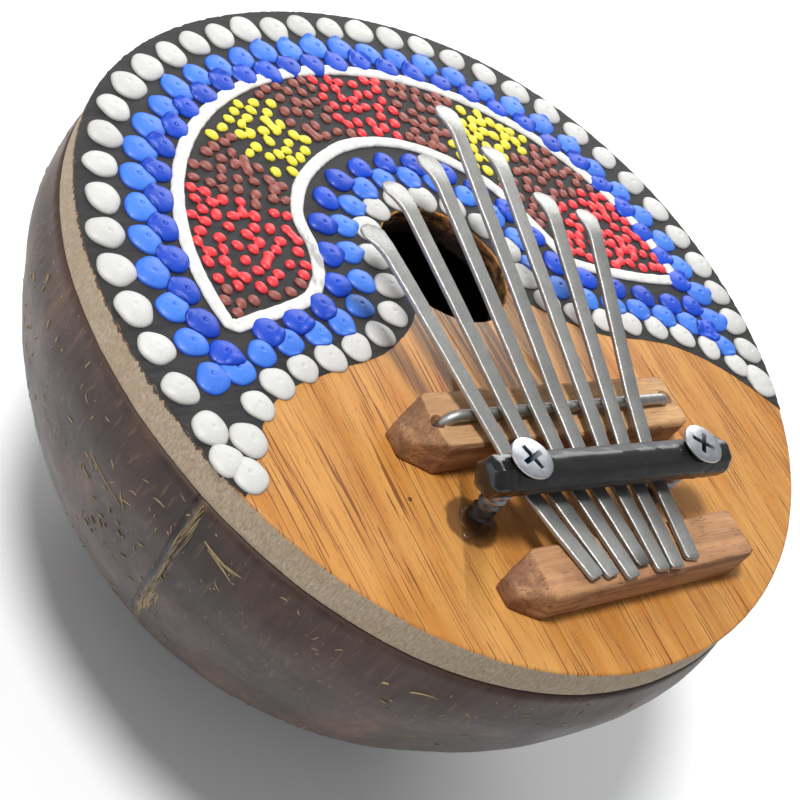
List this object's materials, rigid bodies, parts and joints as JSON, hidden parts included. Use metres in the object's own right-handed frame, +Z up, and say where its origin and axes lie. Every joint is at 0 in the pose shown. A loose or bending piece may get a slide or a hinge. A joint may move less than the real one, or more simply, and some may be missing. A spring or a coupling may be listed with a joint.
{
  "type": "thumb piano",
  "caption": "Thumb piano with steel tines clamped over wooden bridges on a round painted soundboard that closes a half coconut shell.",
  "frame": {"origin": "on the surface it stands on, at the middle of the small flat foot at the shell's pole, below the middle of the playing face", "axes": "+Z up, square to the playing face; +Y along the grain and the tines, towards their free ends; +X to the right with the free ends pointing away"},
  "size_m": [0.1311, 0.1306, 0.0951],
  "materials": {
    "shell": "dark coconut shell, oiled, with pale fibre remnants",
    "board": "golden varnished wood with red-brown streaks",
    "bridge_wood": "raw brown wood, rough sawn",
    "black_lacquer": "thick glossy black lacquer on an iron rod",
    "spring_steel": "flattened spring steel, ground along its length",
    "zinc_plate": "bright zinc plating",
    "paint_ground": "thin charcoal paint, satin",
    "paint_white": "thick white paint, satin",
    "paint_light_blue": "thick light blue paint, satin",
    "paint_dark_blue": "thick deep blue paint, satin",
    "paint_red": "thick red paint, satin",
    "paint_brown": "thick red-brown paint, satin",
    "paint_yellow": "thick yellow paint, satin",
    "wood_glue": "dried clear glue, amber, glossy"
  },
  "bodies": {
    "sound_box": {"coconut_shell": "shell", "soundboard": "board", "front_bridge": "bridge_wood", "back_bridge": "bridge_wood", "bridge_wire": "spring_steel"},
    "clamp": {"pressure_bar": "black_lacquer"},
    "left_screw": {"screw_left": "zinc_plate"},
    "right_screw": {"screw_right": "zinc_plate"},
    "tine_1": {"tine_1_tail": "spring_steel"},
    "tine_1_free": {"tine_1_tongue": "spring_steel"},
    "tine_2": {"tine_2_tail": "spring_steel"},
    "tine_2_free": {"tine_2_tongue": "spring_steel"},
    "tine_3": {"tine_3_tail": "spring_steel"},
    "tine_3_free": {"tine_3_tongue": "spring_steel"},
    "tine_4": {"tine_4_tail": "spring_steel"},
    "tine_4_free": {"tine_4_tongue": "spring_steel"},
    "tine_5": {"tine_5_tail": "spring_steel"},
    "tine_5_free": {"tine_5_tongue": "spring_steel"},
    "tine_6": {"tine_6_tail": "spring_steel"},
    "tine_6_free": {"tine_6_tongue": "spring_steel"},
    "tine_7": {"tine_7_tail": "spring_steel"},
    "tine_7_free": {"tine_7_tongue": "spring_steel"}
  },
  "joints": [
    {"name": "bar_lift", "type": "slide", "parent": "sound_box", "child": "clamp", "axis": [0, 0, 1], "range_m": [0, 0.002]},
    {"name": "left_screw_turn", "type": "hinge", "parent": "clamp", "child": "left_screw", "pos_m": [-0.0232, -0.03773, 0.08], "axis": [0, 0, 1], "range_deg": [0, 520]},
    {"name": "right_screw_turn", "type": "hinge", "parent": "clamp", "child": "right_screw", "pos_m": [0.0116, -0.03949, 0.08], "axis": [0, 0, 1], "range_deg": [0, 520]},
    {"name": "tine_1_tune", "type": "slide", "parent": "sound_box", "child": "tine_1", "axis": [-0.2223, 0.975, 0], "range_m": [-0.001, 0.001]},
    {"name": "tine_1_flex", "type": "hinge", "parent": "tine_1", "child": "tine_1_free", "pos_m": [-0.02144, -0.02593, 0.084], "axis": [0.9997, -0.0262, 0], "range_deg": [-5.7, 5.7], "stiffness_Nm_per_rad": 2.21},
    {"name": "tine_2_tune", "type": "slide", "parent": "sound_box", "child": "tine_2", "axis": [-0.1483, 0.9889, 0], "range_m": [-0.001, 0.001]},
    {"name": "tine_2_flex", "type": "hinge", "parent": "tine_2", "child": "tine_2_free", "pos_m": [-0.01632, -0.02606, 0.084], "axis": [0.9997, -0.0262, 0], "range_deg": [-4.7, 4.7], "stiffness_Nm_per_rad": 1.83},
    {"name": "tine_3_tune", "type": "slide", "parent": "sound_box", "child": "tine_3", "axis": [-0.0748, 0.9972, 0], "range_m": [-0.001, 0.001]},
    {"name": "tine_3_flex", "type": "hinge", "parent": "tine_3", "child": "tine_3_free", "pos_m": [-0.01061, -0.02621, 0.084], "axis": [0.9997, -0.0262, 0], "range_deg": [-4.3, 4.3], "stiffness_Nm_per_rad": 1.66},
    {"name": "tine_4_tune", "type": "slide", "parent": "sound_box", "child": "tine_4", "axis": [-0.018, 0.9998, 0], "range_m": [-0.001, 0.001]},
    {"name": "tine_4_flex", "type": "hinge", "parent": "tine_4", "child": "tine_4_free", "pos_m": [-0.00582, -0.02633, 0.084], "axis": [0.9997, -0.0262, 0], "range_deg": [-3.6, 3.6], "stiffness_Nm_per_rad": 1.38},
    {"name": "tine_5_tune", "type": "slide", "parent": "sound_box", "child": "tine_5", "axis": [0.0778, 0.997, 0], "range_m": [-0.001, 0.001]},
    {"name": "tine_5_flex", "type": "hinge", "parent": "tine_5", "child": "tine_5_free", "pos_m": [-0.00003, -0.02649, 0.084], "axis": [0.9997, -0.0262, 0], "range_deg": [-3.9, 3.9], "stiffness_Nm_per_rad": 1.51},
    {"name": "tine_6_tune", "type": "slide", "parent": "sound_box", "child": "tine_6", "axis": [0.1425, 0.9898, 0], "range_m": [-0.001, 0.001]},
    {"name": "tine_6_flex", "type": "hinge", "parent": "tine_6", "child": "tine_6_free", "pos_m": [0.00484, -0.02661, 0.084], "axis": [0.9997, -0.0262, 0], "range_deg": [-4.8, 4.8], "stiffness_Nm_per_rad": 1.86},
    {"name": "tine_7_tune", "type": "slide", "parent": "sound_box", "child": "tine_7", "axis": [0.1904, 0.9817, 0], "range_m": [-0.001, 0.001]},
    {"name": "tine_7_flex", "type": "hinge", "parent": "tine_7", "child": "tine_7_free", "pos_m": [0.01008, -0.02675, 0.084], "axis": [0.9997, -0.0262, 0], "range_deg": [-5.4, 5.4], "stiffness_Nm_per_rad": 2.08}
  ],
  "couplings": [
    {"joint": "left_screw_turn", "follows": "bar_lift", "rad_per_m": 4488},
    {"joint": "right_screw_turn", "follows": "bar_lift", "rad_per_m": 4488}
  ]
}
